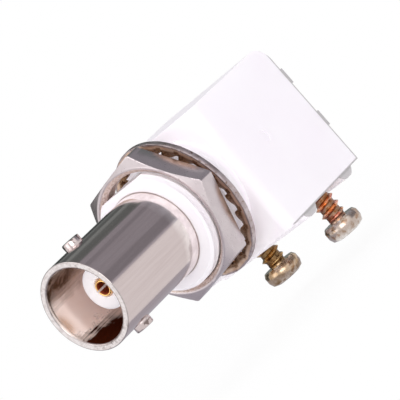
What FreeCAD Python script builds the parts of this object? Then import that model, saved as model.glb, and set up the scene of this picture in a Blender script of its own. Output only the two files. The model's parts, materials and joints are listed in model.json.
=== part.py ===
# Right-angle BNC jack for a circuit board, with an isolated plastic housing.
#
# Frame, in millimetres: the origin lies on the board's surface, midway between the two
# board screws. +Z is up from the board, -Y is the mating direction and +X is the right-hand
# side seen from the plug. The connector's axis runs along Y at board_to_axis.
#
# Turned pieces are drawn about their own Z axis, which points forward along the connector's
# axis. Their stations are counted from the housing's front face: forward is positive.

import FreeCAD
import Part
import Sketcher
import math
import os

from FreeCAD import Vector

doc = FreeCAD.newDocument("bnc_jack")
sheet = doc.addObject("Spreadsheet::Sheet", "sizes")
sheet.Label = "sizes"

SIZES = [
    # Board and axis
    ("board_to_axis", 8.8, "height of the connector's axis above the board"),
    ("screw_row_to_front", 8.35, "the housing's front face ahead of the screw row"),
    ("screw_inset", 2.12, "a board screw's axis inside the side of the box"),
    # Housing
    ("box_width", 14.4, "side to side"),
    ("box_depth", 14.3, "front face to rear face"),
    ("box_height", 15.2, "underside to top"),
    ("front_corner_radius", 1.2, "upright front edges of the box"),
    ("top_rear_radius", 2.0, "rounded edge between the top and the rear"),
    ("rib_height", 0.65, "standing ribs under the box"),
    ("rib_width", 2.4, "width of a half-round standing rib at the box"),
    ("rib_crest", 0.7, "flat crest that sits on the board"),
    ("front_rib_ahead", 4.6, "front rib ahead of the screw row"),
    ("rear_rib_behind", 3.15, "rear rib behind the screw row"),
    ("collar_wall", 1.525, "wall of the threaded collar round the barrel, 12.7 over its crests"),
    ("collar_length", 7.7, "collar ahead of the box"),
    ("flat_cut", 0.8, "how far the flat cuts into the collar's top"),
    ("collar_chamfer", 0.35, "lead on the collar's front edge"),
    ("front_wall", 2.6, "wall between the front face and the chamber"),
    ("chamber_gap", 0.1, "rear chamber outside the shell's flange"),
    ("screw_hole_depth", 3.65, "blind screw holes above the underside"),
    ("core_width", 4.6, "core pocket between the screw bosses"),
    ("core_length", 4.0, "core pocket along the axis"),
    ("core_ahead", 0.6, "core pocket ahead of the screw row"),
    ("core_depth", 2.0, "core pocket above the underside"),
    ("slot_left", 1.3, "tail slot left of the axis"),
    ("slot_right", 3.7, "tail slot right of the axis"),
    ("slot_front", 0.74, "front end of the tail slot ahead of the ground tail's axis"),
    ("gate_ahead", 2.64, "gate mark ahead of the screw row"),
    ("gate_diameter", 1.5, "gate mark on the right-hand side"),
    ("gate_depth", 0.15, "depth of the gate mark"),
    # Rear cover
    ("cover_thickness", 1.0, "plate let into the rear"),
    ("cover_margin", 1.2, "wall of the box around the cover"),
    ("cover_gap", 0.05, "clearance around the cover"),
    ("ear_rise", 0.4, "ears proud of the rear face"),
    ("ear_height", 1.85, "ear along the upright"),
    ("ear_inset", 0.1, "outer end of an ear inside the side of the box"),
    ("ear_length", 1.9, "ear along the cover"),
    ("ear_spread", 2.8, "ears above and below the axis"),
    ("boss_length", 1.5, "ring on the cover that holds the shell"),
    ("boss_inset", 0.7, "outside of that ring inside the chamber"),
    ("boss_wall", 1.0, "wall of that ring"),
    ("tail_groove_width", 1.1, "groove in the cover for the signal tail"),
    ("tail_groove_floor", 0.4, "plate left behind that groove"),
    ("tail_gap", 0.07, "signal tail ahead of the groove's floor"),
    # Shell
    ("shell_diameter", 9.65, "outside of the bayonet barrel"),
    ("shell_wall", 0.75, "wall round the bore that the plug's sleeve enters"),
    ("shell_reach", 13.5, "rim ahead of the collar"),
    ("shell_clearance", 0.05, "round the shell in the housing"),
    ("rim_wall", 0.62, "wall at the rim, outside its lead"),
    ("mouth_lead", 0.3, "length of the lead inside the rim"),
    ("socket_depth", 9.0, "rim to the floor of the bore"),
    ("floor_thickness", 1.2, "floor that stops the dielectric"),
    ("core_wall", 1.375, "wall behind the floor"),
    ("flange_rise", 0.475, "flange behind the front wall, proud of the barrel"),
    ("flange_thickness", 2.0, "flange along the axis"),
    ("lug_diameter", 2.0, "bayonet lugs"),
    ("lug_rise", 0.675, "lugs proud of the barrel, 11.0 over both"),
    ("lug_setback", 4.35, "lug centre behind the rim"),
    ("lug_chamfer", 0.15, "edge of a lug"),
    # Dielectric and contact
    ("nose_diameter", 4.75, "dielectric seen in the mouth"),
    ("nose_setback", 3.6, "its face behind the rim"),
    ("fit_gap", 0.05, "radial gap between the nested pieces"),
    ("plug_thickness", 3.0, "rear insulator"),
    ("contact_diameter", 2.0, "socket contact"),
    ("contact_hole", 1.37, "hole for the plug's pin"),
    ("contact_depth", 5.0, "depth of that hole"),
    ("contact_proud", 0.15, "contact ahead of the dielectric's face"),
    ("contact_slot", 0.22, "slot between the two fingers"),
    ("contact_lead", 0.15, "lead at the mouth of the hole"),
    ("contact_inset", 0.5, "rear end of the contact ahead of the rear insulator"),
    ("tail_socket", 3.0, "depth of the contact's rear bore"),
    # Solder tails
    ("tail_diameter", 0.8, "both solder tails"),
    ("tail_length", 3.2, "below the board's surface"),
    ("tail_bend", 0.7, "the signal tail's bend, cut across its corner"),
    ("ground_aside", 2.54, "ground tail to the right of the axis"),
    ("ground_inset", 0.91, "ground tail's axis ahead of the barrel's rear end"),
    ("ground_press", 0.35, "ground tail's top inside the wall of the barrel's rear"),
    # Panel nut
    ("nut_wall", 0.8, "flats of the hexagon outside the collar, 14.3 over both"),
    ("nut_thickness", 2.5, "along the axis"),
    ("nut_angle", 10.0, "degrees from the right-hand side up to a corner"),
    ("nut_bevel", 0.5, "bevel at the corners along the axis"),
    ("thread_clearance", 0.05, "radial gap round the collar"),
    ("nut_countersink", 0.5, "countersink of the nut's bore"),
    # Lock washer
    ("washer_width", 1.7, "outside of the washer beyond the collar, 16.1 over both"),
    ("washer_thickness", 0.6, "strip"),
    ("washer_rim", 0.6, "plain rim outside the teeth"),
    ("teeth_gap", 0.3, "tips of the teeth outside the collar"),
    ("washer_teeth", 22, "internal teeth"),
    ("tooth_width", 1.3, "tooth across its length"),
    ("tooth_thickness", 0.5, "tooth, thinner than the rim"),
    ("tooth_angle", 20.0, "degrees that each tooth is turned out of the strip"),
    ("lean_angle", 9.7, "degrees about the upright, as it hangs loose"),
    ("nod_angle", 3.3, "degrees about the cross axis"),
    ("washer_drop", 0.13, "it hangs this far below the axis"),
    ("washer_to_box", 0.45, "its rear edge ahead of the box"),
    ("washer_to_nut", 0.55, "its front edge behind the nut"),
    # Board screws
    ("screw_diameter", 2.5, "over the thread's crests"),
    ("screw_root", 1.85, "at the thread's roots"),
    ("screw_pitch", 0.9, "from one crest to the next"),
    ("thread_flank", 0.27, "half the width of a crest at its root"),
    ("screw_length", 5.6, "under the head"),
    ("first_crest", 0.625, "from the head's seat to the first crest"),
    ("screw_turns", 4, "crests on the shank"),
    ("screw_point", 0.31, "radius of the shank's point"),
    ("screw_taper", 0.925, "taper at the point along the screw"),
    ("screw_standoff", 2.4, "seat of the head below the board's surface"),
    ("screw_clearance", 0.05, "radial gap in the formed thread"),
    ("head_diameter", 4.1, "pan head"),
    ("head_height", 1.75, "pan head along the screw"),
    ("head_rounding", 0.7, "rounded edge of the head"),
    ("head_rise", 0.35, "bevel on the seat's side of the head, along the screw"),
    ("head_relief", 0.23, "the same bevel across the screw"),
    ("recess_width", 0.55, "arms of the cross recess"),
    ("recess_span", 2.3, "cross recess over its arms"),
    ("recess_depth", 1.0, "depth of the cross recess"),
]

for row, (alias, number, meaning) in enumerate(SIZES, start=1):
    sheet.set("A%d" % row, alias)
    sheet.set("B%d" % row, str(number))
    sheet.set("C%d" % row, meaning)
    sheet.setAlias("B%d" % row, alias)
doc.recompute()


# Diameters that follow the barrel, so that the nested pieces keep their walls and gaps
FOLLOWING = {
    "collar_diameter": "($shell_diameter + 2 * $collar_wall)",
    "collar_flat": "($shell_diameter / 2 + $collar_wall - $flat_cut)",
    "flange_diameter": "($shell_diameter + 2 * $flange_rise)",
    "chamber_diameter": "($shell_diameter + 2 * $flange_rise + 2 * $chamber_gap)",
    "nut_across_flats": "($shell_diameter + 2 * $collar_wall + 2 * $nut_wall)",
    "washer_diameter": "($shell_diameter + 2 * $collar_wall + 2 * $washer_width)",
    "washer_bore": "($shell_diameter + 2 * $collar_wall + 2 * $teeth_gap)",
}


def size(alias):
    """The number that a cell of the sheet holds."""
    return float(sheet.get(alias))


def cell(text):
    """An expression in which each $name is a cell of the sheet, or follows from such cells."""
    for name, formula in FOLLOWING.items():
        text = text.replace("$" + name, formula)
    return text.replace("$", "sizes.")


# Drawing helpers


def new_body(label):
    body = doc.addObject("PartDesign::Body", label)
    body.Label = label
    return body


def origin_plane(body, role):
    return next(item for item in body.Origin.OriginFeatures if item.Role == role)


def place_on_axis(body, station="0", drop="0", lean="0", nod="0"):
    """Turns a body's own Z forward along the connector's axis, at a station ahead of the box."""
    base = "vector(0; -$screw_row_to_front - %s; $board_to_axis - %s)" % (station, drop)
    body.setExpression("Placement", cell("placement(%s; rotation(-%s; 0; 90 + %s))" % (base, lean, nod)))


def new_sketch(body, name, role, offset="0"):
    """A sketch on one of the body's origin planes, moved along that plane's normal."""
    sketch = body.newObject("Sketcher::SketchObject", body.Name + "_" + name)
    sketch.AttachmentSupport = [(origin_plane(body, role), "")]
    sketch.MapMode = "FlatFace"
    sketch.setExpression("AttachmentOffset.Base.z", cell(offset))
    return sketch


def pin_point(sketch, curve, vertex, across, upward):
    """Ties one point of a sketch to two expressions, counted from the sketch's origin."""
    here = sketch.getPoint(curve, vertex)
    for kind, text, now in (("DistanceX", across, here.x), ("DistanceY", upward, here.y)):
        index = sketch.addConstraint(Sketcher.Constraint(kind, -1, 1, curve, vertex, now))
        sketch.setExpression("Constraints[%d]" % index, cell(text))


def outline(sketch, points):
    """A closed outline of straight lines through points given as pairs of expressions."""
    count = len(points)
    ring = []
    for number in range(count):
        angle = 2 * math.pi * number / count
        ring.append(Vector(20 + 9 * math.cos(angle), 20 + 9 * math.sin(angle), 0))
    first = sketch.GeometryCount
    for number in range(count):
        sketch.addGeometry(Part.LineSegment(ring[number], ring[(number + 1) % count]), False)
    for number in range(count):
        here = first + number
        following = first + (number + 1) % count
        sketch.addConstraint(Sketcher.Constraint("Coincident", here, 2, following, 1))
    for number, (across, upward) in enumerate(points):
        pin_point(sketch, first + number, 1, across, upward)
    return sketch


def rectangle(sketch, left, right, low, high):
    return outline(sketch, [(left, low), (right, low), (right, high), (left, high)])


def disc(sketch, across, upward, radius):
    """A circle with its centre and radius tied to expressions."""
    curve = sketch.addGeometry(Part.Circle(Vector(1, 1, 0), Vector(0, 0, 1), 1.0), False)
    pin_point(sketch, curve, 3, across, upward)
    index = sketch.addConstraint(Sketcher.Constraint("Radius", curve, 1.0))
    sketch.setExpression("Constraints[%d]" % index, cell(radius))
    return sketch


def finish_feature(feature, grows):
    """Recomputes and makes sure that the feature added or removed material."""
    base = feature.BaseFeature
    before = base.Shape.Volume if base is not None else 0.0
    doc.recompute()
    change = feature.Shape.Volume - before
    if (change > 0) != grows or abs(change) < 1e-6:
        raise RuntimeError("%s changes the volume by %.4f" % (feature.Name, change))
    return feature


def extrude(body, kind, sketch, length, reverse=False, both_ways=False):
    """A Pad or a Pocket of a sketch."""
    feature = body.newObject("PartDesign::" + kind, sketch.Name + "_" + kind.lower())
    feature.Profile = sketch
    feature.setExpression("Length", cell(length))
    feature.Reversed = reverse
    if both_ways:
        feature.Midplane = True
    sketch.Visibility = False
    return finish_feature(feature, kind == "Pad")


def pad(body, sketch, length, **ways):
    return extrude(body, "Pad", sketch, length, **ways)


def pocket(body, sketch, length, **ways):
    return extrude(body, "Pocket", sketch, length, **ways)


def turn(body, kind, sketch):
    """A Revolution or a Groove about the sketch's upright axis."""
    feature = body.newObject("PartDesign::" + kind, sketch.Name + "_" + kind.lower())
    feature.Profile = sketch
    feature.ReferenceAxis = (sketch, ["V_Axis"])
    feature.Angle = 360
    sketch.Visibility = False
    return finish_feature(feature, kind == "Revolution")


def edges_where(shape, test):
    """Names of the edges whose every sampled point passes the test."""
    names = []
    for number, edge in enumerate(shape.Edges, start=1):
        points = [vertex.Point for vertex in edge.Vertexes]
        middle = edge.valueAt((edge.FirstParameter + edge.LastParameter) / 2)
        if all(test(point) for point in points + [middle]):
            names.append("Edge%d" % number)
    return names


def near(first, second):
    return abs(first - second) < 1e-4


def round_edges(body, base, name, names, radius):
    feature = body.newObject("PartDesign::Fillet", body.Name + "_" + name)
    feature.Base = (base, names)
    feature.setExpression("Radius", cell(radius))
    return finish_feature(feature, False)


def bevel_edges(body, base, name, names, width):
    feature = body.newObject("PartDesign::Chamfer", body.Name + "_" + name)
    feature.Base = (base, names)
    feature.setExpression("Size", cell(width))
    return finish_feature(feature, False)


# Stations along the connector's axis, ahead of the box's front face
RIM = "($collar_length + $shell_reach)"
FLOOR = "(%s - $socket_depth)" % RIM
NOSE = "(%s - $nose_setback)" % RIM
BARREL_END = "(-$box_depth + $cover_thickness + $boss_length)"
CORE = "($shell_diameter / 2 - $core_wall)"
BOX_REAR = "($box_depth - $screw_row_to_front)"
BOX_TOP = "($rib_height + $box_height)"
SCREW_ASIDE = "($box_width / 2 - $screw_inset)"
EAR_END = "($box_width / 2 - $ear_inset)"
EAR_ROOT = "(%s - $ear_length)" % EAR_END
BARREL_REAR = "(-%s - $screw_row_to_front)" % BARREL_END
GROUND_BEHIND = "(%s - $ground_inset)" % BARREL_REAR
GROUND_SEAT = "(%s - $ground_press)" % CORE
CONTACT_END = "(%s + $plug_thickness + $contact_inset)" % BARREL_END
SIGNAL_BEHIND = "(%s - $tail_groove_floor - $tail_gap - $tail_diameter / 2)" % BOX_REAR
WASHER_REACH = "($washer_diameter / 2 * sin($lean_angle * 1 deg) + $washer_thickness / 2)"
WASHER_MIDDLE = "($washer_to_box + %s)" % WASHER_REACH
NUT_SEAT = "(%s + %s + $washer_to_nut)" % (WASHER_MIDDLE, WASHER_REACH)

# Centre of a rib's round above the board: its chord is rib_width at the box and rib_crest below
RIB_CENTRE = ("((pow($rib_width / 2; 2) + pow($rib_height; 2) - pow($rib_crest / 2; 2))"
              " / (2 * $rib_height))")

# How far a screw head's rounding has cut in at 45 degrees
EASED = "($head_rounding * (1 - sqrt(0.5)))"

# How far a cutting outline runs past the stock it removes
PAST = "1"


def make_housing():
    """One moulded piece: the box, its ribs, the collar with its flat, and the hollows."""
    body = new_body("housing")
    front = size("screw_row_to_front")
    rear = size("box_depth") - front
    half = size("box_width") / 2
    top = size("rib_height") + size("box_height")

    plan = new_sketch(body, "plan", "XY_Plane", "$rib_height")
    rectangle(plan, "-$box_width / 2", "$box_width / 2", "-$screw_row_to_front", BOX_REAR)
    box = pad(body, plan, "$box_height")

    corners = edges_where(box.Shape, lambda p: near(p.y, -front) and near(abs(p.x), half))
    rounded = round_edges(body, box, "front_corners", corners, "$front_corner_radius")
    ridge = edges_where(rounded.Shape, lambda p: near(p.y, rear) and near(p.z, top))
    round_edges(body, rounded, "top_rear", ridge, "$top_rear_radius")

    for name, middle in (("front_rib", "-$front_rib_ahead"), ("rear_rib", "$rear_rib_behind")):
        side = new_sketch(body, name, "YZ_Plane")
        disc(side, middle, RIB_CENTRE, "sqrt(pow($rib_crest / 2; 2) + pow(%s; 2))" % RIB_CENTRE)
        pad(body, side, "$box_width", both_ways=True)
    crest = new_sketch(body, "rib_crests", "XY_Plane")
    rectangle(crest, "-$box_width / 2", "$box_width / 2", "-$screw_row_to_front", BOX_REAR)
    pocket(body, crest, "$rib_width")

    ring = new_sketch(body, "collar", "XZ_Plane", "$screw_row_to_front")
    disc(ring, "0", "$board_to_axis", "$collar_diameter / 2")
    collar = pad(body, ring, "$collar_length")
    tip = -front - size("collar_length")
    lead = edges_where(collar.Shape, lambda p: near(p.y, tip))
    bevel_edges(body, collar, "collar_lead", lead, "$collar_chamfer")

    flat = new_sketch(body, "collar_flat", "XZ_Plane", "$screw_row_to_front + $collar_length")
    rectangle(flat, "-$collar_diameter / 2", "$collar_diameter / 2",
              "$board_to_axis + $collar_flat", "$board_to_axis + $collar_diameter")
    pocket(body, flat, "$collar_length")

    bore = new_sketch(body, "shell_bore", "XZ_Plane", "$screw_row_to_front + $collar_length")
    disc(bore, "0", "$board_to_axis", "$shell_diameter / 2 + $shell_clearance")
    pocket(body, bore, "$collar_length + $front_wall")

    chamber = new_sketch(body, "chamber", "XZ_Plane", "-" + BOX_REAR)
    disc(chamber, "0", "$board_to_axis", "$chamber_diameter / 2")
    pocket(body, chamber, "$box_depth - $front_wall", reverse=True)

    seat = new_sketch(body, "cover_seat", "XZ_Plane", "-" + BOX_REAR)
    rectangle(seat, "-$box_width / 2 + $cover_margin", "$box_width / 2 - $cover_margin",
              "$rib_height + $cover_margin", BOX_TOP + " - $top_rear_radius")
    pocket(body, seat, "$cover_thickness", reverse=True)

    slot = new_sketch(body, "tail_slot", "XY_Plane")
    rectangle(slot, "-$slot_left", "$slot_right", GROUND_BEHIND + " - $slot_front",
              BOX_REAR + " - $tail_groove_floor")
    pocket(body, slot, "$board_to_axis", reverse=True)

    holes = new_sketch(body, "screw_holes", "XY_Plane")
    for side in ("-", ""):
        disc(holes, side + SCREW_ASIDE, "0", "$screw_diameter / 2 + $screw_clearance")
    pocket(body, holes, "$rib_height + $screw_hole_depth", reverse=True)

    core = new_sketch(body, "core", "XY_Plane")
    rectangle(core, "-$core_width / 2", "$core_width / 2",
              "-$core_ahead - $core_length / 2", "-$core_ahead + $core_length / 2")
    pocket(body, core, "$rib_height + $core_depth", reverse=True)

    gate = new_sketch(body, "gate_mark", "YZ_Plane", "$box_width / 2")
    disc(gate, "-$gate_ahead", "$board_to_axis", "$gate_diameter / 2")
    pocket(body, gate, "$gate_depth")
    return body


def make_rear_cover():
    """The plate that closes the chamber, with four ears, a ring boss and a tail groove."""
    body = new_body("rear_cover")
    plate = new_sketch(body, "plate", "XZ_Plane", "-" + BOX_REAR)
    rectangle(plate, "-$box_width / 2 + $cover_margin + $cover_gap",
              "$box_width / 2 - $cover_margin - $cover_gap",
              "$rib_height + $cover_margin + $cover_gap",
              BOX_TOP + " - $top_rear_radius - $cover_gap")
    pad(body, plate, "$cover_thickness")

    ring = new_sketch(body, "ring", "XZ_Plane", "-%s + $cover_thickness" % BOX_REAR)
    disc(ring, "0", "$board_to_axis", "$chamber_diameter / 2 - $boss_inset")
    disc(ring, "0", "$board_to_axis", "$chamber_diameter / 2 - $boss_inset - $boss_wall")
    pad(body, ring, "$boss_length")

    for side, near_end, far_end in (("right", EAR_ROOT, EAR_END), ("left", "-" + EAR_END, "-" + EAR_ROOT)):
        for level, sign in (("high", " + "), ("low", " - ")):
            ear = new_sketch(body, "ear_%s_%s" % (side, level), "XZ_Plane", "-" + BOX_REAR)
            middle = "$board_to_axis" + sign + "$ear_spread"
            rectangle(ear, near_end, far_end,
                      middle + " - $ear_height / 2", middle + " + $ear_height / 2")
            pad(body, ear, "$ear_rise", reverse=True)

    groove = new_sketch(body, "tail_groove", "XZ_Plane", "-" + BOX_REAR + " + $tail_groove_floor")
    rectangle(groove, "-$tail_groove_width / 2", "$tail_groove_width / 2",
              "0", "$board_to_axis + $tail_groove_width")
    pocket(body, groove, BOX_REAR, reverse=True)
    return body


def make_shell():
    """The bayonet barrel: turned outside, two lugs, bored from both ends."""
    body = new_body("bnc_shell")
    place_on_axis(body)

    outside = new_sketch(body, "outside", "XZ_Plane")
    outline(outside, [
        ("0", RIM),
        ("$shell_diameter / 2", RIM),
        ("$shell_diameter / 2", "-$front_wall"),
        ("$flange_diameter / 2", "-$front_wall"),
        ("$flange_diameter / 2", "-$front_wall - $flange_thickness"),
        ("$shell_diameter / 2", "-$front_wall - $flange_thickness"),
        ("$shell_diameter / 2", BARREL_END),
        ("0", BARREL_END),
    ])
    turn(body, "Revolution", outside)

    lugs = new_sketch(body, "lugs", "XZ_Plane")
    disc(lugs, "0", RIM + " - $lug_setback", "$lug_diameter / 2")
    studs = pad(body, lugs, "$shell_diameter + 2 * $lug_rise", both_ways=True)
    reach = size("shell_diameter") / 2 + size("lug_rise")
    ends = edges_where(studs.Shape, lambda p: near(abs(p.y), reach))
    bevel_edges(body, studs, "lug_edges", ends, "$lug_chamfer")

    inside = new_sketch(body, "inside", "XZ_Plane")
    outline(inside, [
        ("0", "%s + %s" % (RIM, PAST)),
        ("$shell_diameter / 2 - $rim_wall", "%s + %s" % (RIM, PAST)),
        ("$shell_diameter / 2 - $rim_wall", RIM),
        ("$shell_diameter / 2 - $shell_wall", RIM + " - $mouth_lead"),
        ("$shell_diameter / 2 - $shell_wall", FLOOR),
        ("$nose_diameter / 2 + $fit_gap", FLOOR),
        ("$nose_diameter / 2 + $fit_gap", FLOOR + " - $floor_thickness"),
        (CORE, FLOOR + " - $floor_thickness"),
        (CORE, "%s - %s" % (BARREL_END, PAST)),
        ("0", "%s - %s" % (BARREL_END, PAST)),
    ])
    turn(body, "Groove", inside)

    hole = new_sketch(body, "ground_hole", "XZ_Plane", GROUND_SEAT)
    disc(hole, "$ground_aside", "-$screw_row_to_front - " + GROUND_BEHIND, "$tail_diameter / 2")
    pocket(body, hole, "$shell_diameter / 2", reverse=True)
    return body


def make_dielectric():
    """The white insulator round the contact: a nose in the mouth and a core behind it."""
    body = new_body("dielectric")
    place_on_axis(body)
    half = new_sketch(body, "section", "XZ_Plane")
    outline(half, [
        ("$contact_diameter / 2 + $fit_gap", NOSE),
        ("$nose_diameter / 2", NOSE),
        ("$nose_diameter / 2", FLOOR + " - $floor_thickness"),
        (CORE + " - $fit_gap", FLOOR + " - $floor_thickness"),
        (CORE + " - $fit_gap", BARREL_END + " + $plug_thickness"),
        ("$contact_diameter / 2 + $fit_gap", BARREL_END + " + $plug_thickness"),
    ])
    turn(body, "Revolution", half)
    return body


def make_rear_insulator():
    """The plug that closes the shell's bore behind the dielectric."""
    body = new_body("rear_insulator")
    place_on_axis(body)
    half = new_sketch(body, "section", "XZ_Plane")
    outline(half, [
        ("$tail_diameter / 2 + $fit_gap", BARREL_END + " + $plug_thickness"),
        (CORE + " - $fit_gap", BARREL_END + " + $plug_thickness"),
        (CORE + " - $fit_gap", BARREL_END),
        ("$tail_diameter / 2 + $fit_gap", BARREL_END),
    ])
    turn(body, "Revolution", half)
    return body


def make_centre_contact():
    """The gold socket: two spring fingers in front, a bore for the signal tail behind."""
    body = new_body("centre_contact")
    place_on_axis(body)
    tip = NOSE + " + $contact_proud"
    half = new_sketch(body, "section", "XZ_Plane")
    outline(half, [
        ("0", tip + " - $contact_depth"),
        ("$contact_hole / 2", tip + " - $contact_depth"),
        ("$contact_hole / 2", tip + " - $contact_lead"),
        ("$contact_hole / 2 + $contact_lead", tip),
        ("$contact_diameter / 2", tip),
        ("$contact_diameter / 2", CONTACT_END),
        ("$tail_diameter / 2", CONTACT_END),
        ("$tail_diameter / 2", CONTACT_END + " + $tail_socket"),
        ("0", CONTACT_END + " + $tail_socket"),
    ])
    turn(body, "Revolution", half)
    slot = new_sketch(body, "slot", "XY_Plane", tip)
    rectangle(slot, "-$contact_diameter", "$contact_diameter",
              "-$contact_slot / 2", "$contact_slot / 2")
    pocket(body, slot, "$contact_depth")
    return body


def make_signal_tail():
    """A round wire from the contact's rear bore, bent down to the board."""
    body = new_body("signal_tail")
    socket = "$screw_row_to_front + %s + $tail_socket" % CONTACT_END
    path = new_sketch(body, "path", "YZ_Plane")
    corners = [Vector(-3, 9, 0), Vector(3, 9, 0), Vector(4, 8, 0), Vector(4, -3, 0)]
    for number in range(3):
        path.addGeometry(Part.LineSegment(corners[number], corners[number + 1]), False)
    path.addConstraint(Sketcher.Constraint("Coincident", 0, 2, 1, 1))
    path.addConstraint(Sketcher.Constraint("Coincident", 1, 2, 2, 1))
    pin_point(path, 0, 1, "-(%s)" % socket, "$board_to_axis")
    pin_point(path, 1, 1, SIGNAL_BEHIND + " - $tail_bend", "$board_to_axis")
    pin_point(path, 2, 1, SIGNAL_BEHIND, "$board_to_axis - $tail_bend")
    pin_point(path, 2, 2, SIGNAL_BEHIND, "-$tail_length")
    section = new_sketch(body, "section", "XZ_Plane", socket)
    disc(section, "0", "$board_to_axis", "$tail_diameter / 2")
    doc.recompute()
    wire = body.newObject("PartDesign::AdditivePipe", "signal_tail_wire")
    wire.Profile = section
    wire.Spine = (path, ["Edge1", "Edge2", "Edge3"])
    wire.Transition = "Right corner"
    path.Visibility = False
    section.Visibility = False
    finish_feature(wire, True)
    return body


def make_ground_tail():
    """A straight pin pressed into the shell from below."""
    body = new_body("ground_tail")
    foot = new_sketch(body, "section", "XY_Plane", "-$tail_length")
    disc(foot, "$ground_aside", GROUND_BEHIND, "$tail_diameter / 2")
    pad(body, foot, "$tail_length + $board_to_axis - " + GROUND_SEAT)
    return body


def make_panel_nut():
    """Hexagon nut with bevelled front corners and a countersunk bore."""
    body = new_body("panel_nut")
    place_on_axis(body, NUT_SEAT)

    hexagon = new_sketch(body, "hexagon", "XY_Plane")
    corners = []
    for angle in range(0, 360, 60):
        turned = "(%d deg + $nut_angle * 1 deg)" % angle
        corners.append(("$nut_across_flats / sqrt(3) * cos%s" % turned,
                        "$nut_across_flats / sqrt(3) * sin%s" % turned))
    outline(hexagon, corners)
    pad(body, hexagon, "$nut_thickness")

    bevel = new_sketch(body, "bevel", "XZ_Plane")
    corner = "$nut_across_flats / sqrt(3)"
    outline(bevel, [
        ("$nut_across_flats / 2", "$nut_thickness"),
        (corner + " + " + PAST, "$nut_thickness - $nut_bevel * (1 + %s / (%s - $nut_across_flats / 2))"
         % (PAST, corner)),
        (corner + " + " + PAST, "$nut_thickness + " + PAST),
        ("$nut_across_flats / 2", "$nut_thickness + " + PAST),
    ])
    turn(body, "Groove", bevel)

    bore = new_sketch(body, "bore", "XZ_Plane")
    wall = "$collar_diameter / 2 + $thread_clearance"
    outline(bore, [
        ("0", "-" + PAST),
        ("%s + $nut_countersink + %s" % (wall, PAST), "-" + PAST),
        (wall, "$nut_countersink"),
        (wall, "$nut_thickness - $nut_countersink"),
        ("%s + $nut_countersink + %s" % (wall, PAST), "$nut_thickness + " + PAST),
        ("0", "$nut_thickness + " + PAST),
    ])
    turn(body, "Groove", bore)
    return body


def make_lock_washer():
    """Internal-tooth lock washer: each tooth twists from the rim to its tip."""
    body = new_body("lock_washer")
    place_on_axis(body, WASHER_MIDDLE, "$washer_drop", "$lean_angle", "$nod_angle")

    rim = new_sketch(body, "rim", "XY_Plane")
    disc(rim, "0", "0", "$washer_diameter / 2")
    disc(rim, "0", "0", "$washer_diameter / 2 - $washer_rim")
    pad(body, rim, "$washer_thickness", both_ways=True)

    section = new_sketch(body, "tooth", "YZ_Plane")
    section.setExpression("AttachmentOffset", cell(
        "placement(vector(0; 0; $washer_bore / 2); rotation($tooth_angle; 0; 0))"))
    rectangle(section, "-$tooth_width / 2", "$tooth_width / 2",
              "-$tooth_thickness / 2", "$tooth_thickness / 2")
    tooth = pad(body, section, "$washer_diameter / 2 - $washer_rim / 2 - $washer_bore / 2")

    ring = body.newObject("PartDesign::PolarPattern", "lock_washer_teeth")
    ring.Originals = [tooth]
    ring.Axis = (origin_plane(body, "Z_Axis"), [""])
    ring.Angle = 360
    ring.setExpression("Occurrences", cell("$washer_teeth"))
    body.Tip = ring
    finish_feature(ring, True)
    return body


def make_board_screw(label, side):
    """Thread-forming pan-head screw, standing head down, with a cross recess."""
    body = new_body(label)
    body.setExpression("Placement.Base.x", cell(side + SCREW_ASIDE))
    body.setExpression("Placement.Base.z", cell("-$screw_standoff"))

    section = new_sketch(body, "section", "XZ_Plane")
    points = [
        ("0", "-$head_height"),
        ("$head_diameter / 2 - $head_rounding", "-$head_height"),
        ("$head_diameter / 2 - " + EASED, "-$head_height + " + EASED),
        ("$head_diameter / 2", "-$head_height + $head_rounding"),
        ("$head_diameter / 2", "-$head_rise"),
        ("$head_diameter / 2 - $head_relief", "0"),
        ("$screw_root / 2", "0"),
    ]
    for number in range(int(size("screw_turns"))):
        crest = "$first_crest + %d * $screw_pitch" % number
        points += [
            ("$screw_root / 2", crest + " - $thread_flank"),
            ("$screw_diameter / 2", crest),
            ("$screw_root / 2", crest + " + $thread_flank"),
        ]
    points += [("$screw_root / 2", "$screw_length - $screw_taper"), ("$screw_point", "$screw_length"),
               ("0", "$screw_length")]
    outline(section, points)
    turn(body, "Revolution", section)

    cross = new_sketch(body, "recess", "XY_Plane", "-$head_height")
    arm = "$recess_width / 2"
    reach = "$recess_span / 2"
    outline(cross, [
        (arm, arm), (reach, arm), (reach, "-" + arm), (arm, "-" + arm),
        (arm, "-" + reach), ("-" + arm, "-" + reach), ("-" + arm, "-" + arm),
        ("-" + reach, "-" + arm), ("-" + reach, arm), ("-" + arm, arm),
        ("-" + arm, reach), (arm, reach),
    ])
    pocket(body, cross, "$recess_depth", reverse=True)
    return body


parts = [
    make_housing(),
    make_rear_cover(),
    make_shell(),
    make_dielectric(),
    make_rear_insulator(),
    make_centre_contact(),
    make_signal_tail(),
    make_ground_tail(),
    make_lock_washer(),
    make_panel_nut(),
    make_board_screw("board_screw_left", "-"),
    make_board_screw("board_screw_right", ""),
]
doc.recompute()

for item in doc.Objects:
    if "Invalid" in item.State or "Error" in item.State:
        raise RuntimeError("%s failed: %s" % (item.Label, item.State))
os.makedirs("parts", exist_ok=True)
for part in parts:
    shape = part.Shape
    if shape.isNull() or not shape.isValid() or not shape.Solids:
        raise RuntimeError("%s has no valid solid" % part.Label)
    print("%-20s %d solid(s) %8.2f mm3" % (part.Label, len(shape.Solids), shape.Volume))
    shape.exportStep("parts/%s.step" % part.Label)
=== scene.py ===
"""Looks of a circuit board BNC jack: surfaces worked out with numpy, finishes and studio.

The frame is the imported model's, in metres: +Z up from the board, -Y the way the jack faces.
Sizes below are real ones in millimetres, and places come from the frame's own boxes.
"""
import json
import math

import bpy
import numpy as np
from mathutils import Matrix, Vector


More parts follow.
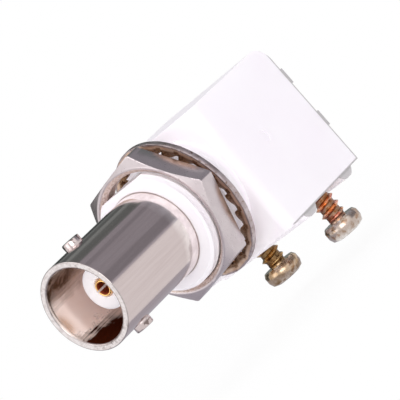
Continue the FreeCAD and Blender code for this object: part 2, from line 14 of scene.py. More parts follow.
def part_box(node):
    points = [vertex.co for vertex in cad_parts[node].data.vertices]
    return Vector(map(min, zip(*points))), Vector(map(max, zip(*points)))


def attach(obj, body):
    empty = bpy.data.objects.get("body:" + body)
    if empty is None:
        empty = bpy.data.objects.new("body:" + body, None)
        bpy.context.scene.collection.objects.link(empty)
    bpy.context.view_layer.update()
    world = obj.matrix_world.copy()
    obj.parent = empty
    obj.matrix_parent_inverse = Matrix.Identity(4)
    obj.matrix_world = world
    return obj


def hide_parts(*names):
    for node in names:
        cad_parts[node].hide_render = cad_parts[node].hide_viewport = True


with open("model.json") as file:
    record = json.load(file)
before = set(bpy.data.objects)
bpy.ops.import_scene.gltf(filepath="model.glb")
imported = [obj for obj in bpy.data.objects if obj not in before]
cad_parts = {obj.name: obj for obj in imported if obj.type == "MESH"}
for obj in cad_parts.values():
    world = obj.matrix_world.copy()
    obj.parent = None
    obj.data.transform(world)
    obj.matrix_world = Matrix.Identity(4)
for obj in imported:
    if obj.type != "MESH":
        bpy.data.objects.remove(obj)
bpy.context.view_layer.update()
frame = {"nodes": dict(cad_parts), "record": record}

MM = 0.001
TAU = 2 * math.pi
SHARP_ANGLE = 35.0

# Places read from the frame, in millimetres
shell_low, shell_high = (np.array(corner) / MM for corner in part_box("bnc_shell"))
housing_low, housing_high = (np.array(corner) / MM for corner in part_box("housing"))
nut_low, nut_high = (np.array(corner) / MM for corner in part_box("panel_nut"))
washer_low, washer_high = (np.array(corner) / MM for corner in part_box("lock_washer"))
contact_low, contact_high = (np.array(corner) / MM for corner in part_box("centre_contact"))
nose_low, nose_high = (np.array(corner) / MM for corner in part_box("dielectric"))
AXIS_HEIGHT = (shell_low[2] + shell_high[2]) / 2
RIM = shell_low[1]
COLLAR_FRONT = housing_low[1]
BARREL_REAR = shell_high[1]
BOX_SIDE = housing_high[0]

# Box and the round chamber behind the barrel
BOX_FRONT = -8.35
BOX_REAR = 5.95
BOX_BOTTOM = 0.65
EAR_SIDE = BOX_SIDE - 0.1
CHAMBER_RADIUS = 5.4
COVER_GAP = 0.05
WEB_THICKNESS = 0.9
WEB_ROOT = 0.1

# Barrel
BARREL_RADIUS = 4.825
BORE_RADIUS = 4.075
RIM_BORE_RADIUS = 4.205
RIM_LEAD = 0.3
BARREL_ROUNDING = 0.09
BORE_DEPTH = 9.0
FLOOR_THICKNESS = 1.2
CORE_RADIUS = 3.45
FLANGE_RADIUS = 5.3
FLANGE_THICKNESS = 2.0
FRONT_WALL = 2.6
LUG_RADIUS = 1.0
LUG_ROOT = 4.4
LUG_REACH = 5.5
LUG_SETBACK = 4.35
LUG_ROUNDING = 0.16

# The bore's two patches of painted shade, dark brown: the bearings where each starts, is full,
# fades and ends, in degrees up from +X, and the depths where it fades and ends
LOWER_PAINTED_SHADE = (-150, -122, -30, -10, 4.0, 7.0)
UPPER_PAINTED_SHADE = (92, 112, 140, 165, 3.5, 8.0)

# Dielectric and contact
NOSE_RADIUS = 2.375
NOSE_ROUNDING = 0.08
CONTACT_RADIUS = 1.0
CONTACT_HOLE = 0.685
CONTACT_HOLE_DEPTH = 5.0
CONTACT_SLOT = 0.22
CONTACT_REAR_HOLE = 0.4
CONTACT_REAR_DEPTH = 3.0
FINGER_PINCH = 0.1
FIT = 0.05

# Collar thread, nut and washer
COLLAR_RADIUS = 6.35
COLLAR_FLAT = 5.55
THREAD_PITCH = 0.907
THREAD_DEPTH = 0.42
THREAD_STEEPNESS = 1.35
THREAD_CREST = 0.15
COLLAR_LEAD = 0.15
COLLAR_LEAD_SLOPE = 1.1
COLLAR_MOUTH = BARREL_RADIUS + 0.01
NUT_FLATS = 14.3
NUT_ANGLE = 10.0
NUT_BORE = 6.40
NUT_MOUTH = NUT_BORE + 0.48
NUT_SINK_DEPTH = 0.5
NUT_BEVEL_DEPTH = 0.62
NUT_BEVEL_SLOPE = 2.2
NUT_BACK_RADIUS = NUT_FLATS / 2 + 0.85
NUT_EDGE = 0.05
WASHER_RADIUS = 8.05
WASHER_THICKNESS = 0.6
WASHER_EDGE = 0.05
WASHER_RIM = 0.85
WASHER_TIP = 6.65
WASHER_TEETH = 22
TOOTH_WIDTH = 1.4
TOOTH_TWIST = 17.0
TOOTH_THINNING = 0.06
TIP_ROUNDING = 0.22
WASHER_LEAN = 9.7
WASHER_NOD = 3.3

# Board screws
SCREW_ASIDE = 5.08
SCREW_SEAT = -2.4
SCREW_LENGTH = 5.6
SCREW_CREST = 1.25
SCREW_ROOT = 0.925
SCREW_PITCH = 0.9
SCREW_FLANK = 0.3
SCREW_TAPER = 1.1
SCREW_HEAD = 2.05
SCREW_WAY_OUT = 2.0


# Meshes


def mesh_from(name, points, faces):
    """A linked mesh object from points in millimetres and faces."""
    mesh = bpy.data.meshes.new(name)
    mesh.from_pydata((np.asarray(points).reshape(-1, 3) * MM).tolist(), [], faces)
    piece = bpy.data.objects.new(name, mesh)
    bpy.context.scene.collection.objects.link(piece)
    return piece


def smooth(piece):
    """Smooth shading, sharp where two faces meet at more than SHARP_ANGLE."""
    mesh = piece.data
    mesh.polygons.foreach_set("use_smooth", np.ones(len(mesh.polygons), bool))
    mesh.set_sharp_from_angle(angle=math.radians(SHARP_ANGLE))
    return piece


def grid_faces(rows, columns, wrap_rows, wrap_columns):
    """Quads between neighbours of a rows by columns grid, joined round where it wraps."""
    row = np.arange(rows if wrap_rows else rows - 1)
    column = np.arange(columns if wrap_columns else columns - 1)
    here, across = np.meshgrid(row, column, indexing="ij")
    down = (here + 1) % rows
    right = (across + 1) % columns
    quads = np.stack([here * columns + across, here * columns + right,
                      down * columns + right, down * columns + across], axis=-1)
    return quads.reshape(-1, 4)


def enclosed(points, faces):
    """Signed volume of a closed quad mesh: positive where its faces point outwards."""
    flat = points.reshape(-1, 3)
    a, b, c, d = (flat[faces[:, k]] for k in range(4))
    return (np.einsum("ij,ij->i", a, np.cross(b, c)).sum()
            + np.einsum("ij,ij->i", a, np.cross(c, d)).sum()) / 6


def surface(name, points, wrap_rows=True, wrap_columns=True, caps=False):
    """A surface through a grid of points. With caps, its first and last rows are closed."""
    rows, columns = points.shape[:2]
    faces = grid_faces(rows, columns, wrap_rows, wrap_columns)
    if enclosed(points, faces) < 0:
        faces = faces[:, ::-1]
    listed = faces.tolist()
    if caps:
        first = np.arange(columns)
        last = (rows - 1) * columns + first
        if faces[0][1] > faces[0][0]:
            first, last = first[::-1], last[::-1]
        listed += [first.tolist(), last[::-1].tolist()]
    return smooth(mesh_from(name, points, listed))


def face_out(piece, point, middle):
    """Turns a surface over where its first face, at the point, looks towards the middle."""
    if piece.data.polygons[0].normal.dot(Vector(point) - Vector(middle)) < 0:
        piece.data.flip_normals()
    return piece


def numbers(items, name, width=1, kind=float):
    """One property of all of a mesh's items, as an array with a row for each."""
    flat = np.empty(len(items) * width, kind)
    items.foreach_get(name, flat)
    return flat.reshape(-1, width) if width > 1 else flat


def join(name, pieces):
    """One object from several, in the order given."""
    points, faces, count = [], [], 0
    for piece in pieces:
        mesh = piece.data
        points.append(numbers(mesh.vertices, "co", 3) / MM)
        corners = count + numbers(mesh.loops, "vertex_index", kind=int)
        starts = numbers(mesh.polygons, "loop_start", kind=int)
        faces += [face.tolist() for face in np.split(corners, starts[1:])]
        count += len(mesh.vertices)
        bpy.data.objects.remove(piece)
    return smooth(mesh_from(name, np.concatenate(points), faces))


def soften(corners, radius, steps=4):
    """A closed outline with each corner rounded.

    Each corner P becomes the curve (1-t)^2 A + 2t(1-t) P + t^2 B, where A and B lie at the
    radius from P along its two sides, or at 0.45 of a side that is shorter.
    """
    here = np.array(corners, float)
    before = np.roll(here, 1, axis=0) - here
    after = np.roll(here, -1, axis=0) - here
    reach_before = np.linalg.norm(before, axis=1, keepdims=True)
    reach_after = np.linalg.norm(after, axis=1, keepdims=True)
    cut = np.minimum(radius, 0.45 * np.minimum(reach_before, reach_after))
    start = (here + before / reach_before * cut)[:, None]
    end = (here + after / reach_after * cut)[:, None]
    t = np.linspace(0, 1, steps + 1)[None, :, None]
    curve = (1 - t) ** 2 * start + 2 * t * (1 - t) * here[:, None] + t ** 2 * end
    return curve.reshape(-1, 2)


def around_axis(radius, y, angle):
    """Points at a radius and an angle about the connector's axis; 0 is +X and 90 is up."""
    return np.stack([radius * np.cos(angle), y + 0 * radius * angle,
                     AXIS_HEIGHT + radius * np.sin(angle)], axis=-1)


def lathe(name, outline, turns):
    """An outline of (radius, y) carried once round the connector's axis."""
    angle = np.linspace(0, TAU, turns, endpoint=False)[:, None]
    return surface(name, around_axis(outline[None, :, 0], outline[None, :, 1], angle))


def kept_from(node, name, keeps):
    """A copy of a CAD node's mesh with only the triangles whose three corners pass the test."""
    mesh = frame["nodes"][node].data
    mesh.calc_loop_triangles()
    points = numbers(mesh.vertices, "co", 3) / MM
    corners = numbers(mesh.loop_triangles, "vertices", 3, int)
    chosen = corners[keeps(points)[corners].all(axis=1)]
    merged, where = np.unique(points.round(5), axis=0, return_inverse=True)
    return smooth(mesh_from(name, merged, where.reshape(-1)[chosen].tolist()))


# Pieces


def moulding():
    """The housing as the CAD has it, with a real thread in place of the collar's plain wall.

    The wall's radius is crest - depth * v(phase), where v is 0 on the crest and 1 in the root,
    and the phase gains one for each turn and loses one for each pitch towards the plug. The
    thread fades in over its first two pitches from the box. The collar's flat cuts it at
    flat / sin(angle), and a cone at its front leads the nut on.
    """
    def keeps(points):
        """All but the outside and the front of the collar."""
        radius = np.hypot(points[:, 0], points[:, 2] - AXIS_HEIGHT)
        return (points[:, 1] >= BOX_FRONT - 0.01) | (radius <= BARREL_RADIUS + 0.1)
    box = kept_from("housing", "housing_box", keeps)

    angle = np.linspace(0, TAU, 256, endpoint=False)[:, None]
    y = np.linspace(BOX_FRONT, COLLAR_FRONT, 300)[None, :]
    phase = y / THREAD_PITCH + angle / TAU
    valley = np.abs((phase % 1) * 2 - 1) * THREAD_STEEPNESS - THREAD_CREST
    fade_in = np.clip((BOX_FRONT - y) / (1.5 * THREAD_PITCH) - 0.5, 0, 1)
    radius = COLLAR_RADIUS - THREAD_DEPTH * np.clip(valley, 0, 1) * fade_in
    cone = COLLAR_RADIUS - COLLAR_LEAD + (y - COLLAR_FRONT) * COLLAR_LEAD_SLOPE
    radius = np.minimum(radius, cone)
    rise = np.sin(angle)
    flat = np.where(rise > 0.5, COLLAR_FLAT / np.maximum(rise, 0.5), COLLAR_RADIUS)
    radius = np.minimum(radius, flat)
    wall = around_axis(radius, y, angle)
    inner = around_axis(COLLAR_MOUTH + 0.1 + 0 * angle, COLLAR_FRONT, angle)
    mouth = around_axis(COLLAR_MOUTH + 0 * angle, COLLAR_FRONT + 0.08, angle)
    points = np.concatenate([wall, inner, mouth], axis=1)
    collar = face_out(surface("collar", points, wrap_columns=False),
                      points[0, 0], (0, BOX_FRONT, AXIS_HEIGHT))
    return join("moulding", [box, collar, web()])


def web():
    """The wall that closes the round chamber above the cover.

    At x it reaches from just above the cover to the chamber's top, which lies at
    axis + sqrt(chamber radius^2 - x^2), and a little into the box.
    """
    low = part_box("rear_cover")[1][2] / MM + COVER_GAP
    half = math.sqrt(CHAMBER_RADIUS ** 2 - (low - AXIS_HEIGHT) ** 2)
    x = np.linspace(-half, half, 24)[:, None]
    top = AXIS_HEIGHT + np.sqrt(CHAMBER_RADIUS ** 2 - x ** 2) + WEB_ROOT
    z = np.concatenate([low + 0 * x, top, top, low + 0 * x], axis=1)
    y = np.array([BOX_REAR - WEB_THICKNESS, BOX_REAR - WEB_THICKNESS, BOX_REAR, BOX_REAR])
    points = np.stack([x + 0 * z, y[None, :] + 0 * z, z], axis=-1)
    return surface("web", points, wrap_rows=False, caps=True)


def barrel():
    """The bayonet barrel: an outline with rounded corners, turned about the axis."""
    floor = RIM + BORE_DEPTH
    shoulder = BOX_FRONT + FRONT_WALL
    outline = soften([
        (RIM_BORE_RADIUS, RIM), (BARREL_RADIUS, RIM),
        (BARREL_RADIUS, shoulder), (FLANGE_RADIUS, shoulder),
        (FLANGE_RADIUS, shoulder + FLANGE_THICKNESS), (BARREL_RADIUS, shoulder + FLANGE_THICKNESS),
        (BARREL_RADIUS, BARREL_REAR), (CORE_RADIUS, BARREL_REAR),
        (CORE_RADIUS, floor + FLOOR_THICKNESS), (NOSE_RADIUS + FIT, floor + FLOOR_THICKNESS),
        (NOSE_RADIUS + FIT, floor), (BORE_RADIUS, floor),
        (BORE_RADIUS, RIM + RIM_LEAD),
    ], BARREL_ROUNDING)
    tube = lathe("tube", outline, 220)
    return join("barrel", [tube, lug("upper_lug", 1), lug("lower_lug", -1)])


def lug(name, side):
    """A bayonet lug: a stud turned about the upright through its centre, its end bevelled."""
    outline = soften([(0.001, LUG_ROOT), (LUG_RADIUS, LUG_ROOT), (LUG_RADIUS, LUG_REACH),
                      (0.001, LUG_REACH)], LUG_ROUNDING)
    angle = np.linspace(0, TAU, 56, endpoint=False)[:, None]
    radius, reach = outline[None, :, 0], outline[None, :, 1]
    points = np.stack([radius * np.cos(angle),
                       RIM + LUG_SETBACK + radius * np.sin(angle),
                       AXIS_HEIGHT + side * reach + 0 * angle], axis=-1)
    return surface(name, points)


def dielectric():
    """The white insulator: a ring round the contact, wider behind the barrel's floor."""
    floor = RIM + BORE_DEPTH + FLOOR_THICKNESS
    outline = soften([
        (CONTACT_RADIUS + FIT, nose_low[1]), (NOSE_RADIUS, nose_low[1]),
        (NOSE_RADIUS, floor), (CORE_RADIUS - FIT, floor),
        (CORE_RADIUS - FIT, nose_high[1]), (CONTACT_RADIUS + FIT, nose_high[1]),
    ], NOSE_ROUNDING)
    return lathe("insulator", outline, 128)


def contact():
    """The gold socket: two fingers with a slot between them, and a turned rear half.

    The fingers close in towards their tips by the square of the way from their root. The
    slot's faces are flat, so a finger starts at the angle arcsin(half the slot / radius).
    """
    tip, rear_end = contact_low[1], contact_high[1]
    root = tip + CONTACT_HOLE_DEPTH
    hole_end = rear_end - CONTACT_REAR_DEPTH
    section = soften([(CONTACT_HOLE + 0.13, tip), (CONTACT_RADIUS - 0.06, tip),
                      (CONTACT_RADIUS, tip + 0.1), (CONTACT_RADIUS, root),
                      (CONTACT_HOLE, root), (CONTACT_HOLE, tip + 0.2)], 0.05, 3)
    share = np.linspace(0, 1, 40)[:, None]
    y = section[None, :, 1]
    radius = section[None, :, 0] - FINGER_PINCH * ((root - y) / CONTACT_HOLE_DEPTH) ** 2
    start = np.arcsin(CONTACT_SLOT / 2 / radius)
    angle = start + share * (math.pi - 2 * start)
    upper = surface("upper_finger", around_axis(radius + 0 * angle, y, angle),
                    wrap_rows=False, caps=True)
    lower = surface("lower_finger", around_axis(radius + 0 * angle, y, angle + math.pi),
                    wrap_rows=False, caps=True)
    rear = lathe("contact_rear", soften([
        (0.001, root), (CONTACT_RADIUS, root), (CONTACT_RADIUS, rear_end),
        (CONTACT_REAR_HOLE, rear_end), (CONTACT_REAR_HOLE, hole_end), (0.001, hole_end),
    ], 0.04, 2), 64)
    return join("socket", [upper, lower, rear])


def nut():
    """The hexagon nut.

    Its outside is the smaller of two radii: the hexagon's, flats/2 / cos(angle from the middle
    of a flat), and a cone's, which leaves the curved bevels at the front corners.
    """
    front, rear = nut_low[1], nut_high[1]
    angle = np.linspace(0, TAU, 360, endpoint=False)[:, None]
    ring = np.ones_like(angle)
    from_flat = (angle - math.radians(NUT_ANGLE)) % (TAU / 6) - TAU / 12
    hexagon = NUT_FLATS / 2 / np.cos(from_flat)
    hexagon = np.minimum(hexagon, NUT_FLATS / math.sqrt(3) - NUT_EDGE)
    depth = np.concatenate([np.linspace(0, NUT_BEVEL_DEPTH, 16), [1.0, rear - front - 0.12]])
    side = np.minimum(hexagon, NUT_FLATS / 2 - NUT_EDGE + depth * NUT_BEVEL_SLOPE)
    back = np.minimum(hexagon, NUT_BACK_RADIUS) - 0.08
    # from the front face over the outside to the rear, and back through the countersunk bore
    radius = np.concatenate([
        ring * (NUT_MOUTH + 0.04), side, back, ring * NUT_MOUTH,
        ring * NUT_BORE, ring * NUT_BORE, ring * (NUT_MOUTH - 0.03)], axis=1)
    y = ring * np.concatenate([
        [front], front + depth,
        [rear, rear, rear - NUT_SINK_DEPTH + NUT_EDGE, front + NUT_SINK_DEPTH, front + 0.03]])
    return surface("hexagon_nut", around_axis(radius, y, angle))


def washer():
    """The toothed washer, leaning on the collar.

    A tooth's strip at distance r from the middle rises by r * tan(twist) * angle from the
    tooth's middle, blended in from the plain rim to the tooth's tip. Its tip lies further out
    by the square of that angle, so it is rounded. The attribute inward runs from 0 at the
    washer's outer edge to 1 at the tips.
    """
    pitch = TAU / WASHER_TEETH
    half = TOOTH_WIDTH / 2 / WASHER_TIP
    tooth = np.linspace(-half, half, 9)
    # the gap's part of the rim starts just beside the tooth, so its end faces are steep
    gap = np.linspace(half * 1.03, pitch - half * 1.03, 9)
    local = np.concatenate([tooth, gap])
    is_tooth = np.concatenate([np.ones(9, bool), np.zeros(9, bool)])
    angle = np.add.outer(np.arange(WASHER_TEETH) * pitch, local).reshape(-1, 1)
    offset = np.tile(local, WASHER_TEETH)[:, None]
    toothed = np.tile(is_tooth, WASHER_TEETH)[:, None]
    rim = WASHER_RADIUS - WASHER_RIM
    tip = WASHER_TIP + TIP_ROUNDING * (offset / half) ** 2
    inner = np.where(toothed, tip, rim)
    share = np.concatenate([[0, 0.02], np.linspace(0.3, 1, 8)])[None, :]
    radius = WASHER_RADIUS + share * (inner - WASHER_RADIUS)
    blend = np.clip((rim + 0.15 - radius) / (rim - WASHER_TIP), 0, 1)
    rise = np.where(toothed, math.tan(math.radians(TOOTH_TWIST)) * offset * radius * blend, 0)
    thick = WASHER_THICKNESS / 2 - TOOTH_THINNING * toothed * blend
    edge = np.where(share < 0.01, WASHER_EDGE, 0)
    x, y = radius * np.cos(angle), radius * np.sin(angle)
    top = np.stack([x, y, rise + thick - edge], axis=-1)
    under = np.stack([x, y, rise - thick + edge], axis=-1)
    points = np.concatenate([top, under[:, ::-1]], axis=1)
    stance = (Matrix.Rotation(math.radians(-WASHER_LEAN), 3, "Z")
              @ Matrix.Rotation(math.radians(90 + WASHER_NOD), 3, "X"))
    points = points @ np.array(stance).T + (washer_low + washer_high) / 2
    piece = surface("toothed_washer", points)
    inward = piece.data.attributes.new("inward", "FLOAT", "POINT")
    across = np.concatenate([share, share[:, ::-1]], axis=1) + 0 * angle
    inward.data.foreach_set("value", across.ravel())
    return piece


def screw(side):
    """A board screw: the CAD's head, and a shank with one helical crest.

    The shank's radius is root + (crest - root) * (1 - |phase| / flank), where the phase runs
    from -1/2 to 1/2 over one pitch. The crest grows out of the shank below the head, and both
    radii shrink to a point at the tip.
    """
    node = "board_screw_left" if side < 0 else "board_screw_right"
    head = kept_from(node, node + "_head", lambda points: points[:, 2] < SCREW_SEAT + 0.005)
    angle = np.linspace(0, TAU, 72, endpoint=False)[:, None]
    up = np.linspace(0, SCREW_LENGTH, 220)[None, :]
    phase = (up / SCREW_PITCH - angle / TAU) % 1 - 0.5
    ridge = np.clip(1 - np.abs(phase) / SCREW_FLANK, 0, 1)
    starts = np.clip(up / 0.5 - 0.35, 0, 1)
    taper = np.clip((SCREW_LENGTH - up) / SCREW_TAPER, 0.02, 1) ** 0.7
    radius = (SCREW_ROOT + (SCREW_CREST - SCREW_ROOT) * ridge * starts) * taper
    points = np.stack([side * SCREW_ASIDE + radius * np.cos(angle), radius * np.sin(angle),
                       SCREW_SEAT + up + 0 * angle], axis=-1)
    shank = face_out(surface(node + "_shank", points, wrap_columns=False),
                     points[0, 0], (side * SCREW_ASIDE, 0, SCREW_SEAT))
    return join("screw_left" if side < 0 else "screw_right", [head, shank])


# Finishes


class Wire:
    """A number or colour that flows between nodes. Arithmetic on it adds Math nodes."""

    def __init__(self, finish, socket):
        self.finish = finish
        self.socket = socket

    def math(self, operation, *values, clamp=False):
        """One Math node on this and the given values."""
        return self.finish.node("ShaderNodeMath", {"operation": operation, "use_clamp": clamp},
                                dict(enumerate((self,) + values)))

    def __add__(self, other):
        return self.math("ADD", other)

    __radd__ = __add__

    def __sub__(self, other):
        return self.math("SUBTRACT", other)

    def __rsub__(self, other):
        return self.finish.node("ShaderNodeMath", {"operation": "SUBTRACT"}, {0: other, 1: self})

    def __mul__(self, other):
        return self.math("MULTIPLY", other)

    __rmul__ = __mul__

    def clamp(self):
        return self.math("ADD", 0.0, clamp=True)

    def ramp(self, low, high):
        """0 at low, 1 at high, held outside."""
        return self.math("SUBTRACT", low).math("DIVIDE", high - low, clamp=True)


class Finish:
    """One material, or the world, and its nodes."""

    SOCKETS = {
        "colour": "Base Color", "roughness": "Roughness", "metallic": "Metallic",
        "normal": "Normal", "specular": "Specular IOR Level",
        "subsurface": "Subsurface Weight", "subsurface_scale": "Subsurface Scale",
        "subsurface_radius": "Subsurface Radius",
        "glow": "Emission Color", "glow_strength": "Emission Strength"}

    def __init__(self, name, world=False):
        self.owner = (bpy.data.worlds if world else bpy.data.materials).new(name)
        self.owner.use_nodes = True
        self.tree = self.owner.node_tree
        self.tree.nodes.clear()
        self.ending = "ShaderNodeOutputWorld" if world else "ShaderNodeOutputMaterial"

    def node(self, kind, settings=None, values=None, output=0):
        """Adds a node: its settings first, then the values or links of its sockets.

        Gives the named output, or a list of them where several are named.
        """
        node = self.tree.nodes.new(kind)
        for name, value in (settings or {}).items():
            if name == "stops":
                ramp = node.color_ramp
                while len(ramp.elements) < len(value):
                    ramp.elements.new(0.5)
                for element, (place, colour) in zip(ramp.elements, value):
                    element.position = place
                    element.color = (*colour, 1)
            else:
                setattr(node, name, value)
        for name, value in (values or {}).items():
            if isinstance(value, Wire):
                self.tree.links.new(value.socket, node.inputs[name])
            elif isinstance(value, tuple) and len(value) == 3 and node.inputs[name].type == "RGBA":
                node.inputs[name].default_value = (*value, 1)
            else:
                node.inputs[name].default_value = value
        if isinstance(output, tuple):
            return [Wire(self, node.outputs[name]) for name in output]
        return Wire(self, node.outputs[output])

    def place(self, x=1, y=1, z=1):
        """Object coordinates in millimetres, stretched by a factor along each axis."""
        coordinates = self.node("ShaderNodeTexCoord", output="Object")
        return self.node("ShaderNodeVectorMath", {"operation": "MULTIPLY"},
                         {0: coordinates, 1: (x / MM, y / MM, z / MM)})

    def axes(self):
        """The object coordinates X, Y and Z, in millimetres."""
        return self.node("ShaderNodeSeparateXYZ", None, {0: self.place()},
                         output=("X", "Y", "Z"))

    def from_axis(self):
        """Distance from the connector's axis, in millimetres."""
        x, _, z = self.axes()
        high = z - AXIS_HEIGHT
        return (x * x + high * high).math("SQRT")

    def shown(self):
        """1 for the camera's rays, in gloss and through glass, otherwise 0."""
        camera, glossy, through = self.node("ShaderNodeLightPath", output=(
            "Is Camera Ray", "Is Glossy Ray", "Is Transmission Ray"))
        return (camera + glossy + through).clamp()

    def noise(self, place, scale, detail=3.0, roughness=0.55):
        """Noise between 0 and 1, with about the scale's number of blots to a millimetre."""
        return self.node("ShaderNodeTexNoise", None, {
            "Vector": place, "Scale": scale, "Detail": detail, "Roughness": roughness})

    def blend(self, share, first, second):
        """A colour between two colours, which are the Mix node's sockets 6 and 7."""
        return self.node("ShaderNodeMix", {"data_type": "RGBA"},
                         {"Factor": share, 6: first, 7: second}, output=2)

    def bump(self, height, distance, strength):
        """A normal from a height between 0 and 1 over a distance in millimetres."""
        return self.node("ShaderNodeBump", None, {
            "Height": height, "Distance": distance * MM, "Strength": strength})

    def end(self, shader):
        """Ends in a shader, and gives the material or the world."""
        self.node(self.ending, None, {"Surface": shader}, output=())
        return self.owner

    def finish(self, **values):
        """Ends the material in one shader with the given sockets."""
        return self.end(self.node("ShaderNodeBsdfPrincipled", None, {
            self.SOCKETS[name]: value for name, value in values.items()}))


def white_moulding():
    """Moulded white plastic: faint cloudiness, fine orange peel, satin.

    The rear and lower edges of one side and the ends of its ears carry thin grey lines of painted
    shade, and the collar's front is browner in a ring next to the barrel. The box's front round
    the washer and the ribs below give out a little painted light.
    """
    m = Finish("white_moulding")
    x, y, z = m.axes()
    cloud = m.noise(m.place(), 0.16, 2.0)
    peel = m.noise(m.place(), 2.6, 3.0)
    # Painted shade: thin grey lines along the rear and lower edges of one side and at its ears'
    # ends
    side = x.ramp(BOX_SIDE - 0.22, BOX_SIDE - 0.08)
    rear = y.ramp(BOX_REAR - 0.22, BOX_REAR - 0.08) * side
    low = (1 - z.ramp(BOX_BOTTOM + 0.08, BOX_BOTTOM + 0.22)) * side
    ears = y.ramp(BOX_REAR + 0.25, BOX_REAR + 0.35) * x.ramp(EAR_SIDE - 0.15, EAR_SIDE - 0.05)
    painted_edge_shade = (rear + low + ears).clamp() * 0.8
    radius = m.from_axis()
    # A browner ring on the collar's front next to the barrel
    brown_tint = (1 - radius.ramp(BARREL_RADIUS + 0.05, BARREL_RADIUS + 0.2)) * 0.4
    brown_tint = brown_tint * (1 - y.ramp(COLLAR_FRONT + 0.3, COLLAR_FRONT + 0.5))
    # Painted light given out by the ribs below and by the box's front round the washer
    ribs = 1 - z.ramp(BOX_BOTTOM - 0.2, BOX_BOTTOM - 0.03)
    glow = (1 - y.ramp(BOX_FRONT + 0.1, BOX_FRONT + 0.8)) * y.ramp(BOX_FRONT - 0.8, BOX_FRONT)
    glow = (glow * (1 - radius.ramp(8.2, 10.5)) + ribs).clamp()
    white = m.blend(cloud.ramp(0.3, 0.7), (0.925, 0.880, 0.93), (0.94, 0.905, 0.945))
    return m.finish(
        colour=m.blend(brown_tint, m.blend(painted_edge_shade, white, (0.30, 0.29, 0.28)), (0.60, 0.48, 0.41)),
        roughness=0.48 + 0.12 * peel,
        normal=m.bump(peel, 0.006, 0.5),
        specular=0.2,
        subsurface=0.3,
        subsurface_scale=1.0 * MM,
        subsurface_radius=(1.0, 1.0, 1.0),
        glow=m.blend(glow, (0, 0, 0), (0.13, 0.125, 0.13)),
        glow_strength=1.0)


def white_dielectric():
    """Machined white insulator, translucent: fine turning rings on a waxy face, and a faint even
    painted light that it gives out.
    """
    m = Finish("white_dielectric")
    cloud = m.noise(m.place(), 0.9, 2.0)
    rings = (m.from_axis() * 46).math("SINE") * 0.5 + 0.5
    return m.finish(
        colour=m.blend(cloud, (0.93, 0.90, 0.93), (0.96, 0.94, 0.96)),
        roughness=0.42 + 0.1 * cloud,
        normal=m.bump(rings, 0.002, 0.35),
        subsurface=0.4,
        subsurface_scale=0.8 * MM,
        subsurface_radius=(1.0, 1.0, 1.0),
        # Painted light: the whole insulator gives out a faint even light
        glow=(0.12, 0.11, 0.125),
        glow_strength=1.0)


def bright_nickel():
    """Plated barrel: bright nickel, drawn and turned, with bare warm brass inside the bore.

    The tube turns almost white near its root, a painted reflection of the white collar, and its
    rim is mottled, nicked and darkened at its two edges by painted shade.
    The bore's brass carries two dark brown patches of painted shade near the mouth, each between
    two bearings about the axis, in degrees up from +X, and both fade with noise.
    """
    m = Finish("nickel_shell")
    x, y, z = m.axes()
    radius = m.from_axis()
    inside = 1 - radius.ramp(BORE_RADIUS + 0.045, RIM_BORE_RADIUS - 0.005)
    face = (1 - y.ramp(RIM + 0.04, RIM + 0.12)) * (1 - inside)
    cloud = m.noise(m.place(), 0.8, 4.0)
    turning = m.noise(m.place(0.04, 14, 0.04), 1.0, 2.0)
    drawn = m.noise(m.place(2.4, 0.10, 2.4), 1.5, 3.0)
    cluster = m.noise(m.place(), 0.22, 1.0).ramp(0.48, 0.60)
    nick = m.noise(m.place(), 1.5, 5.0, 0.7).ramp(0.56, 0.62) * cluster
    lug_mark = m.noise(m.place(), 1.9, 3.0).ramp(0.54, 0.60) * radius.ramp(4.95, 5.1)
    # Painted reflection: near the collar the tube turns almost white, as the collar's face would
    # show in it
    root = y.ramp(COLLAR_FRONT - 2.5, COLLAR_FRONT - 1.0)
    plated = m.blend(drawn.ramp(0.3, 0.7), (0.59, 0.50, 0.49), (0.63, 0.54, 0.53))
    plated_with_painted_reflection = m.blend(root * (0.55 + 0.45 * cloud.ramp(0.4, 0.6)), plated, (0.96, 0.89, 0.87))
    # Painted shade darkens the rim's inner and outer edges; below it joins the real nicks and lug
    # marks
    edges = 1 - radius.ramp(RIM_BORE_RADIUS + 0.06, RIM_BORE_RADIUS + 0.16)
    edges = (edges + radius.ramp(BARREL_RADIUS - 0.14, BARREL_RADIUS - 0.04)) * face * 0.6
    fine = m.noise(m.place(), 3.4, 3.0).ramp(0.35, 0.6)
    faced = m.blend(face, plated_with_painted_reflection, m.blend(fine, (0.70, 0.63, 0.62), (0.84, 0.78, 0.775)))
    worn_and_edge_shade = m.blend((face * nick * 0.6 + lug_mark + edges).clamp() * 0.8, faced,
                   (0.12, 0.08, 0.07))

    bearing = (z - AXIS_HEIGHT).math("ARCTAN2", x) * math.degrees(1)
    bearing = bearing + (drawn + cloud - 1) * 36
    depth = y - RIM + (cloud - 0.5) * 3

    def patch(starts, full, fades, ends, deep, deepest):
        """1 between two bearings and down to a depth, with soft borders."""
        across = bearing.ramp(starts, full) * (1 - bearing.ramp(fades, ends))
        return across * (1 - depth.ramp(deep, deepest))
    # Painted shade in the bore: the lower patch dark brown, rough and hardly metallic, the upper
    # brown
    lower = patch(*LOWER_PAINTED_SHADE)
    upper = patch(*UPPER_PAINTED_SHADE) * (0.6 + 0.4 * cloud.ramp(0.42, 0.58))
    brass = m.blend(cloud, (0.94, 0.76, 0.67), (1.0, 0.88, 0.81))
    # Where the lower patch of painted shade lies
    film = lower.ramp(0, 0.6) * inside
    brass_with_painted_shade = m.blend(lower.ramp(0, 0.6), m.blend(upper, brass, (0.13, 0.065, 0.03)),
                     (0.035, 0.006, 0.002))
    return m.finish(
        colour=m.blend(inside, worn_and_edge_shade, brass_with_painted_shade),
        roughness=0.08 + 0.05 * cloud + 0.03 * drawn + 0.11 * inside + 0.4 * film,
        metallic=1 - 0.95 * film - 0.2 * inside * (1 - film),
        specular=0.0,
        normal=m.bump(turning + 0.12 * drawn - nick * face, 0.002, 0.15))


